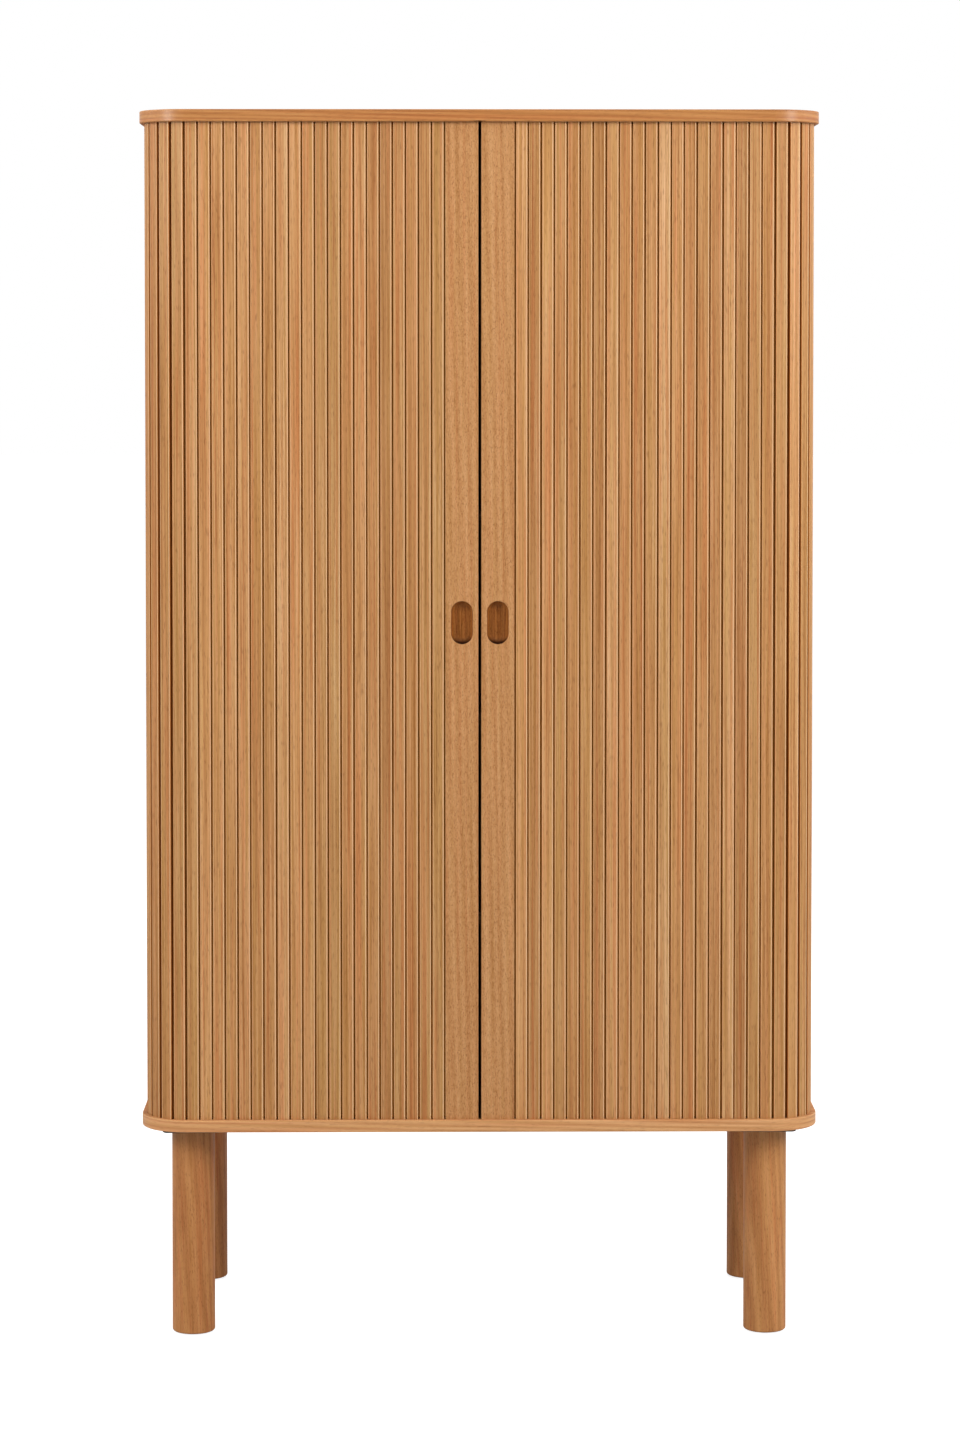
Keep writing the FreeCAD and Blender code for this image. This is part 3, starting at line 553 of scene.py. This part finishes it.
black_steel, tree = new_finish("steel, black powder coat")
place = put(tree, "ShaderNodeTexCoord")
waves = stretched(tree, place.outputs["Object"], (1.2, 1.2, 1.2), 2.0)
coat = put(tree, "ShaderNodeValToRGB", {"stops": [(0.3, linear("#18181A")), (0.7, linear("#262627"))]},
           {"Fac": waves})
coat_relief = put(tree, "ShaderNodeBump", {"Strength": 0.5, "Distance": 0.05 * MM}, {"Height": waves})
paint = put(tree, "ShaderNodeBsdfPrincipled", {"Roughness": 0.5},
            {"Base Color": coat, "Normal": coat_relief})
put(tree, "ShaderNodeOutputMaterial", {}, {"Surface": paint})
print("made", plated_steel.name, "and", black_steel.name)

# %% Felt
felt, tree = new_finish("wool felt")
place = put(tree, "ShaderNodeTexCoord")
hairs = stretched(tree, place.outputs["Object"], (0.5, 2.5, 0.5), 4.0, 1.5)
wool = put(tree, "ShaderNodeValToRGB", {"stops": [(0.3, linear("#4A382B")), (0.7, linear("#7B6350"))]},
           {"Fac": hairs})
nap = put(tree, "ShaderNodeBump", {"Strength": 0.8, "Distance": 0.2 * MM}, {"Height": hairs})
fluff = put(tree, "ShaderNodeBsdfPrincipled", {"Roughness": 0.95, "Sheen Weight": 0.3},
            {"Base Color": wool, "Normal": nap})
put(tree, "ShaderNodeOutputMaterial", {}, {"Surface": fluff})
print("made", felt.name)

# %% Canvas
# Threads of such canvas are about 0.6 mm apart, and are drawn 1.2 mm apart so that they show
THREAD = 1.2 * MM
canvas, tree = new_finish("cotton canvas, plain weave")
cloth_map = put(tree, "ShaderNodeUVMap", {"uv_map": "cloth"})
threads = put(tree, "ShaderNodeVectorMath", {"operation": "SCALE", "Scale": math.pi / THREAD},
              {0: cloth_map})
thread_axes = put(tree, "ShaderNodeSeparateXYZ", {}, {0: threads})
warp = put(tree, "ShaderNodeMath", {"operation": "SINE"}, {0: thread_axes.outputs["X"]})
weft = put(tree, "ShaderNodeMath", {"operation": "SINE"}, {0: thread_axes.outputs["Y"]})
over_under = put(tree, "ShaderNodeMath", {"operation": "MULTIPLY"}, {0: warp, 1: weft})
slubs = stretched(tree, cloth_map, (1.2, 30.0, 30.0), 2.0)
woven = put(tree, "ShaderNodeMath", {"operation": "MULTIPLY_ADD", 1: 0.25}, {0: over_under, 2: slubs})
cotton = put(tree, "ShaderNodeValToRGB",
             {"stops": [(0.25, linear("#C27838")), (0.5, linear("#DC9246")),
                        (0.75, linear("#E8A456"))]}, {"Fac": woven})
weave = put(tree, "ShaderNodeBump", {"Strength": 0.8, "Distance": 0.25 * MM}, {"Height": over_under})
cloth_skin = put(tree, "ShaderNodeBsdfPrincipled", {"Roughness": 0.9, "Specular IOR Level": 0.1},
                 {"Base Color": cotton, "Normal": weave})
put(tree, "ShaderNodeOutputMaterial", {}, {"Surface": cloth_skin})
print("made", canvas.name)

# %% [markdown]
# ## Slat curtains
# A curtain is one slat, repeated at an even pitch along a path: straight across the front, round
# the front corner, along the side and round the rear corner. Ninety-four copies by hand would be
# slow to change, so a Geometry Nodes tree does it. It rounds a small rectangle, raises it to
# a slat, sets one on each of the path's points, turned along the path, and stores what the slat
# oak reads. The path starts and ends at the middle of the first and the last slat.

# %% Slat tree
def named_inputs(tree, inputs):
    """Gives a tree its named inputs, and returns each one's identifier."""
    found = {}
    for name, kind in inputs.items():
        made = tree.interface.new_socket(name, in_out="INPUT", socket_type="NodeSocket" + kind)
        found[name] = made.identifier
    tree.interface.new_socket("Made", in_out="OUTPUT", socket_type="NodeSocketGeometry")
    return found


WELD = 0.001 * MM
slats = bpy.data.node_groups.new("slat curtain", "GeometryNodeTree")
slats.is_modifier = True
slat_inputs = named_inputs(slats, {
    "Path": "Geometry", "Count": "Int", "Width": "Float", "Thickness": "Float", "Easing": "Float",
    "Bottom": "Float", "Top": "Float", "Seed": "Int", "Finish": "Material"})
given = put(slats, "NodeGroupInput").outputs
outline = put(slats, "GeometryNodeCurvePrimitiveQuadrilateral", {},
              {"Width": given["Width"], "Height": given["Thickness"]})
rounded = put(slats, "GeometryNodeFilletCurve", {"mode": "POLY", "Count": 3},
              {"Curve": outline, "Radius": given["Easing"]})
section = put(slats, "GeometryNodeFillCurve", {"mode": "NGONS"}, {"Curve": rounded})
half_back = put(slats, "ShaderNodeMath", {"operation": "MULTIPLY", 1: -0.5}, {0: given["Thickness"]})
foot = put(slats, "ShaderNodeCombineXYZ", {}, {"Y": half_back, "Z": given["Bottom"]})
low_end = put(slats, "GeometryNodeTransform", {}, {"Geometry": section, "Translation": foot})
length = put(slats, "ShaderNodeMath", {"operation": "SUBTRACT"}, {0: given["Top"], 1: given["Bottom"]})
raised = put(slats, "GeometryNodeExtrudeMesh", {"Individual": False, "Offset": (0.0, 0.0, 1.0)},
             {"Mesh": low_end, "Offset Scale": length})
underside = put(slats, "GeometryNodeFlipFaces", {}, {"Mesh": low_end})
both = put(slats, "GeometryNodeJoinGeometry", {}, {"Geometry": [raised, underside]})
closed = put(slats, "GeometryNodeMergeByDistance", {"Distance": WELD}, {"Geometry": both})
spot = put(slats, "GeometryNodeInputPosition")
spot_axes = put(slats, "ShaderNodeSeparateXYZ", {}, {0: spot})
half_width = put(slats, "ShaderNodeMath", {"operation": "MULTIPLY", 1: 0.5}, {0: given["Width"]})
sideways = put(slats, "ShaderNodeMath", {"operation": "DIVIDE"},
               {0: spot_axes.outputs["X"], 1: half_width})
with_across = put(slats, "GeometryNodeStoreNamedAttribute", {"Name": "across"},
                  {"Geometry": closed, "Value": sideways})
one_slat = put(slats, "GeometryNodeStoreNamedAttribute",
               {"data_type": "FLOAT_VECTOR", "Name": "on_slat"},
               {"Geometry": with_across, "Value": spot})
print("one slat:", len(slats.nodes), "nodes, inputs", ", ".join(slat_inputs))

# %% Slats along the path
# Slats are glued on by hand, so each is a little off its even place
SLAT_SLIP = 0.25 * MM
# No two slats show the same wood if their grain lies anywhere in a block this wide, in metres
GRAIN_BLOCK = 9.0
run = put(slats, "GeometryNodeMeshToCurve", {}, {"Mesh": given["Path"]})
stands = put(slats, "GeometryNodeCurveToPoints", {"mode": "COUNT"},
             {"Curve": run, "Count": given["Count"]})
any_tone = put(slats, "FunctionNodeRandomValue", {"data_type": "FLOAT"}, {"Seed": given["Seed"]})
toned = put(slats, "GeometryNodeStoreNamedAttribute", {"Name": "tone"},
            {"Geometry": stands.outputs["Points"], "Value": any_tone.outputs[1]})
any_shift = put(slats, "FunctionNodeRandomValue",
                {"data_type": "FLOAT_VECTOR", 1: (GRAIN_BLOCK, GRAIN_BLOCK, GRAIN_BLOCK)},
                {"Seed": given["Seed"]})
shifted = put(slats, "GeometryNodeStoreNamedAttribute",
              {"data_type": "FLOAT_VECTOR", "Name": "grain_shift"},
              {"Geometry": toned, "Value": any_shift.outputs[0]})
any_slip = put(slats, "FunctionNodeRandomValue", {"data_type": "FLOAT", 2: -SLAT_SLIP, 3: SLAT_SLIP},
               {"Seed": given["Seed"]})
slip = put(slats, "ShaderNodeVectorMath", {"operation": "SCALE"},
           {0: stands.outputs["Tangent"], "Scale": any_slip.outputs[1]})
slipped = put(slats, "GeometryNodeSetPosition", {}, {"Geometry": shifted, "Offset": slip})
turn = put(slats, "FunctionNodeAlignRotationToVector", {"axis": "X", "pivot_axis": "Z"},
           {"Vector": stands.outputs["Tangent"]})
copies = put(slats, "GeometryNodeInstanceOnPoints", {},
             {"Points": slipped, "Instance": one_slat, "Rotation": turn})
real = put(slats, "GeometryNodeRealizeInstances", {}, {"Geometry": copies})
dressed = put(slats, "GeometryNodeSetMaterial", {}, {"Geometry": real, "Material": given["Finish"]})
put(slats, "NodeGroupOutput", {}, {"Made": dressed})
print("slat tree:", len(slats.nodes), "nodes")

# %% [markdown]
# ## The paths
# The path is the line of the slats' backs, as the CAD model has it: straight runs and quarter
# circles. A curve object could hold it, but points worked out from the sizes also serve the
# canvas. For the right curtain the path runs away from the lead stile, and for the left one
# towards it, so the slats' faces look out on both sides.

# %% Path round the cabinet
CORNER_X, FRONT_CORNER_Y, REAR_CORNER_Y = 409 * MM, -159 * MM, 151 * MM
BACK_RADIUS = 53 * MM
SIDE_RUN = REAR_CORNER_Y - FRONT_CORNER_Y
ARC_STEPS = 64


def round_the_cabinet(radius, start, end, sign):
    """Points along a line from the front's middle round one side, between two distances on it."""
    corner = radius * math.pi / 2
    bends = [CORNER_X, CORNER_X + corner, CORNER_X + corner + SIDE_RUN,
             CORNER_X + 2 * corner + SIDE_RUN]
    marks = {start, end}
    for first in (bends[0], bends[2]):
        marks.update(first + corner * i / ARC_STEPS for i in range(ARC_STEPS + 1))
    points = []
    for s in sorted(m for m in marks if start <= m <= end):
        if s <= bends[0]:
            x, y = s, FRONT_CORNER_Y - radius
        elif s <= bends[1]:
            angle = (s - bends[0]) / radius
            x, y = CORNER_X + radius * math.sin(angle), FRONT_CORNER_Y - radius * math.cos(angle)
        elif s <= bends[2]:
            x, y = CORNER_X + radius, FRONT_CORNER_Y + s - bends[1]
        elif s <= bends[3]:
            angle = (s - bends[2]) / radius
            x, y = CORNER_X + radius * math.cos(angle), REAR_CORNER_Y + radius * math.sin(angle)
        else:
            x, y = CORNER_X - (s - bends[3]), REAR_CORNER_Y + radius
        points.append((sign * x, y))
    return points if sign > 0 else points[::-1]


print("the slats' backs go round each corner in", round(BACK_RADIUS * math.pi / 2 / MM, 1), "mm")

# %% [markdown]
# ## From a modifier to a plain mesh
# A modifier only shows its result, and the export wants meshes that are final. An operator could
# apply it, but it works on whatever object is active. So the evaluated object is copied to a new
# mesh, and the object with the modifier goes. A tree's inputs are set before that, by identifier.

# %% Settle and grow
def settled(name, shaped):
    """Applies an object's modifiers, and keeps the result as a plain mesh at the origin."""
    scene.collection.objects.link(shaped)
    depsgraph = bpy.context.evaluated_depsgraph_get()
    plain = bpy.data.meshes.new_from_object(shaped.evaluated_get(depsgraph), depsgraph=depsgraph)
    plain.name = name
    shaped.modifiers.clear()
    bpy.data.objects.remove(shaped)
    piece = bpy.data.objects.new(name, plain)
    scene.collection.objects.link(piece)
    return piece


def grown(name, mesh, node_tree, values):
    """Runs a geometry tree on a mesh, and settles the result."""
    seed = bpy.data.objects.new(name + "_seed", mesh)
    modifier = seed.modifiers.new("made", "NODES")
    modifier.node_group = node_tree
    for identifier, value in values.items():
        modifier[identifier] = value
    return settled(name, seed)


# %% [markdown]
# ## The curtains
# The front slats ride on their curtain. A real curtain would bend round the corner, which no
# single body can do, so the slats round the corner stand still: a curtain that has moved along
# fills the very same places.

# %% Slat curtains
SLAT_PITCH, SLAT_WIDTH, SLAT_EASING = 18 * MM, 16.2 * MM, 0.8 * MM
LEAD_ZONE, FRONT_SLATS, WAITING_SLATS = 49 * MM, 20, 27
FRONT_SEED, WAITING_SEED = 11, 21


def curtain(name, first, count, sign, seed):
    """Slats from the first to the last along the path, as one piece."""
    start = LEAD_ZONE + SLAT_PITCH * (first - 0.5)
    points = round_the_cabinet(BACK_RADIUS, start, start + SLAT_PITCH * (count - 1), sign)
    path = bpy.data.meshes.new(name + "_path")
    path.from_pydata([(x, y, 0.0) for x, y in points],
                     [(i, i + 1) for i in range(len(points) - 1)], [])
    low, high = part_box("left_side_slats")
    values = {"Count": count, "Width": SLAT_WIDTH, "Thickness": SLAT_THICKNESS, "Easing": SLAT_EASING,
              "Bottom": low.z, "Top": high.z, "Seed": seed, "Finish": slat_oak}
    piece = grown(name, path, slats, {slat_inputs[k]: v for k, v in values.items()})
    print(name, count, "slats,", len(piece.data.polygons), "faces")
    return piece


SIDES = {"left": -1, "right": 1}
for side, sign in SIDES.items():
    front = curtain(side + "_front_slats", 1, FRONT_SLATS, sign, FRONT_SEED + sign)
    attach(front, side + "_curtain")
    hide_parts(*[f"{side}_front_slats_{group}" for group in range(1, 5)])
    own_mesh(front)
    waiting = curtain(side + "_waiting_slats", FRONT_SLATS + 1, WAITING_SLATS, sign,
                      WAITING_SEED + sign)
    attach(waiting, "cabinet")
    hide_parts(*[f"{side}_{run}_slats" for run in ("front_corner", "side", "rear_corner")])

# %% [markdown]
# ## Canvas
# The slats are glued to a strip of canvas, which is the curtain's hinge. It is a thin sheet: one
# part behind the front slats, which rides with them, and one that goes round the side. The
# line of its middle is swept upwards as a mesh with a UV map in metres for its weave, and
# Solidify gives it its thickness.

# %% Canvas strip
CANVAS_THICKNESS = 0.6 * MM
CANVAS_ROWS = 12


def cloth(name, points, low, high):
    """A strip of canvas along a line of points, from one height to another."""
    made = bmesh.new()
    cloth_uv = made.loops.layers.uv.new("cloth")
    run, total = [0.0], 0.0
    for (x0, y0), (x1, y1) in zip(points, points[1:]):
        total += math.hypot(x1 - x0, y1 - y0)
        run.append(total)
    heights = [low + (high - low) * i / CANVAS_ROWS for i in range(CANVAS_ROWS + 1)]
    grid = [[made.verts.new((x, y, z)) for z in heights] for x, y in points]
    for i in range(len(points) - 1):
        for k in range(CANVAS_ROWS):
            corners = ((i, k), (i + 1, k), (i + 1, k + 1), (i, k + 1))
            face = made.faces.new([grid[column][row] for column, row in corners])
            for loop, (column, row) in zip(face.loops, corners):
                loop[cloth_uv].uv = (run[column], heights[row])
    mesh = bpy.data.meshes.new(name)
    made.to_mesh(mesh)
    made.free()
    mesh.materials.append(canvas)
    strip = bpy.data.objects.new(name + "_flat", mesh)
    thick = strip.modifiers.new("thick", "SOLIDIFY")
    thick.thickness = CANVAS_THICKNESS
    thick.offset = 0.0
    print(name, "cut", round(total / MM, 1), "x", round((high - low) / MM, 1), "mm")
    return settled(name, strip), (total, high - low)


print("canvas", CANVAS_THICKNESS / MM, "mm thick")

# %% Canvas sheets
FRONT_COLUMNS = 8
GLUE_LINE = 0.1 * MM
for side, sign in SIDES.items():
    low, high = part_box(side + "_front_canvas")
    middle_y = (low.y + high.y) / 2
    line = [(low.x + (high.x - low.x) * i / FRONT_COLUMNS, middle_y) for i in range(FRONT_COLUMNS + 1)]
    piece, flat = cloth(side + "_front_cloth", line, low.z, high.z)
    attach(piece, side + "_curtain")
    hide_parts(side + "_front_canvas")
    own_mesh(piece)
    low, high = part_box(side + "_side_canvas")
    radius = BACK_RADIUS - GLUE_LINE - CANVAS_THICKNESS / 2
    tail = CORNER_X - (low.x if sign > 0 else -high.x)
    line = round_the_cabinet(radius, CORNER_X, CORNER_X + radius * math.pi + SIDE_RUN + tail, sign)
    piece, flat = cloth(side + "_side_cloth", line, low.z, high.z)
    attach(piece, "cabinet")
    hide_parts(side + "_side_canvas")

# %% [markdown]
# ## Screws
# Countersunk screws with a cross recess hold the back panel, the leg plates and the door stops.
# They are all one shape, so one tree makes them: a cone and a shank, with two thin bars cut out
# of the head, one copy on each point, turned to the way that the head looks, and each at
# another angle, as screws stop where they are tight.

# %% Screw tree
screws = bpy.data.node_groups.new("countersunk screws", "GeometryNodeTree")
screws.is_modifier = True
screw_inputs = named_inputs(screws, {
    "Seats": "Geometry", "Head": "Float", "Shank": "Float", "Length": "Float", "Seed": "Int",
    "Finish": "Material"})
HEAD_HEIGHT = 2.0 * MM
RECESS = (0.85 * MM, 3.8 * MM, 2.4 * MM)
given = put(screws, "NodeGroupInput").outputs
cone = put(screws, "GeometryNodeMeshCone", {"Vertices": 24, "Depth": HEAD_HEIGHT},
           {"Radius Top": given["Head"], "Radius Bottom": given["Shank"]})
head = put(screws, "GeometryNodeTransform", {"Translation": (0, 0, -HEAD_HEIGHT)},
           {"Geometry": cone.outputs[0]})
bar_x = put(screws, "GeometryNodeMeshCube", {"Size": RECESS})
bar_y = put(screws, "GeometryNodeMeshCube", {"Size": (RECESS[1], RECESS[0], RECESS[2])})
cut = put(screws, "GeometryNodeMeshBoolean", {"operation": "DIFFERENCE", "solver": "EXACT"},
          {0: head, 1: [bar_x.outputs[0], bar_y.outputs[0]]})
shank_length = put(screws, "ShaderNodeMath", {"operation": "SUBTRACT", 1: HEAD_HEIGHT},
                   {0: given["Length"]})
rod = put(screws, "GeometryNodeMeshCylinder", {"Vertices": 16},
          {"Radius": given["Shank"], "Depth": shank_length})
rod_middle = put(screws, "ShaderNodeMath", {"operation": "MULTIPLY_ADD", 1: -0.5, 2: -HEAD_HEIGHT},
                 {0: shank_length})
rod_place = put(screws, "ShaderNodeCombineXYZ", {}, {"Z": rod_middle})
shank = put(screws, "GeometryNodeTransform", {}, {"Geometry": rod.outputs[0], "Translation": rod_place})
one_screw = put(screws, "GeometryNodeJoinGeometry", {}, {"Geometry": [cut, shank]})
looks = put(screws, "GeometryNodeInputNamedAttribute", {"data_type": "FLOAT_VECTOR", "Name": "outward"})
upright = put(screws, "FunctionNodeAlignRotationToVector", {"axis": "Z"}, {"Vector": looks.outputs[0]})
any_turn = put(screws, "FunctionNodeRandomValue", {"data_type": "FLOAT", 3: math.pi / 2},
               {"Seed": given["Seed"]})
twist = put(screws, "FunctionNodeAxisAngleToRotation", {}, {"Angle": any_turn.outputs[1]})
turned = put(screws, "FunctionNodeRotateRotation", {"rotation_space": "LOCAL"},
             {"Rotation": upright, "Rotate By": twist})
driven = put(screws, "GeometryNodeInstanceOnPoints", {},
             {"Points": given["Seats"], "Instance": one_screw, "Rotation": turned})
real = put(screws, "GeometryNodeRealizeInstances", {}, {"Geometry": driven})
dressed = put(screws, "GeometryNodeSetMaterial", {}, {"Geometry": real, "Material": given["Finish"]})
put(screws, "NodeGroupOutput", {}, {"Made": dressed})
print("screw tree:", len(screws.nodes), "nodes")

# %% Screw seats
BACK_FACE_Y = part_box("outer_back")[1].y
PLATE_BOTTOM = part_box("front_left_leg_plate")[0].z
# The back panel's screws stand in two rows: how many, how far to each side and how high, in mm
ROW_SCREWS, ROW_REACH, ROW_HEIGHTS = 7, 379, (303, 1714)
# From a leg plate's edges, and from a door stop's ends
PLATE_INSET, STOP_INSET = 9 * MM, 25 * MM
back_seats = [((-ROW_REACH + i * 2 * ROW_REACH / (ROW_SCREWS - 1)) * MM, BACK_FACE_Y, z * MM)
              for z in ROW_HEIGHTS for i in range(ROW_SCREWS)]
plate_seats = []
for place_name in ("front_left", "front_right", "rear_left", "rear_right"):
    low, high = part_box(place_name + "_leg_plate")
    plate_seats += [(x, y, PLATE_BOTTOM) for x in (low.x + PLATE_INSET, high.x - PLATE_INSET)
                    for y in (low.y + PLATE_INSET, high.y - PLATE_INSET)]
stop_seats, stop_looks = [], []
for side in SIDES:
    low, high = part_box(side + "_door_stops")
    for z, look in ((low.z + STOP_INSET, 1), (high.z - STOP_INSET, -1)):
        stop_seats.append(((low.x + high.x) / 2, (low.y + high.y) / 2, z))
        stop_looks.append((0, 0, look))
print("seats:", len(back_seats), "in the back,", len(plate_seats), "in the leg plates and",
      len(stop_seats), "in the door stops")

# %% Screws in their seats
HEAD_RADIUS, SHANK_RADIUS, SCREW_SEED = 3.5 * MM, 1.75 * MM, 5
SCREWS = {
    # name: seats, the way each head looks, length, finish, slot
    "back_panel_screws": (back_seats, [(0, 1, 0)] * len(back_seats), 22 * MM, plated_steel,
                          "plated_steel"),
    "leg_plate_screws": (plate_seats, [(0, 0, -1)] * len(plate_seats), 13 * MM, black_steel,
                         "black_steel"),
    "door_stop_screws": (stop_seats, stop_looks, 34 * MM, plated_steel, "plated_steel"),
}
for node_name, (seats, ways, screw_length, finish, slot) in SCREWS.items():
    points = bpy.data.meshes.new(node_name + "_seats")
    points.from_pydata(seats, [], [])
    outward = points.attributes.new("outward", "FLOAT_VECTOR", "POINT")
    outward.data.foreach_set("vector", [c for way in ways for c in way])
    values = {"Head": HEAD_RADIUS, "Shank": SHANK_RADIUS, "Length": screw_length,
              "Seed": SCREW_SEED, "Finish": finish}
    piece = grown("cross_" + node_name, points, screws,
                  {screw_inputs[k]: v for k, v in values.items()})
    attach(piece, "cabinet")
    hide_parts(node_name)
    print(piece.name, len(seats), "screws,", len(piece.data.polygons), "faces")

# %% [markdown]
# ## Dress the CAD nodes
# The boards, legs, stiles, shelves and panels already have their right shapes and eased edges in
# the CAD model, so they stay, and each gets the finish of what it is made of.

# %% Finishes for the CAD nodes
FINISHES = {
    "oak_veneer": top_oak, "oak_slats": slat_oak, "oak_solid": leg_oak, "oak_interior": shelf_oak,
    "oak_back": back_oak, "beech": beech, "canvas": canvas, "black_steel": black_steel,
    "plated_steel": plated_steel, "felt": felt,
}
PIECE_FINISHES = {
    "left_lead_stile": stile_oak, "right_lead_stile": stile_oak, "left_inner_side": side_oak,
    "right_inner_side": side_oak, "inner_back": side_oak, "bottom_board": bottom_oak_floor_lit,
}
for subpart in frame["record"]["subparts"]:
    node_name = subpart["node"]
    cad = frame["nodes"][node_name]
    finish = PIECE_FINISHES.get(node_name, FINISHES[subpart["material_slot"]])
    for material_slot in cad.material_slots:
        material_slot.material = finish
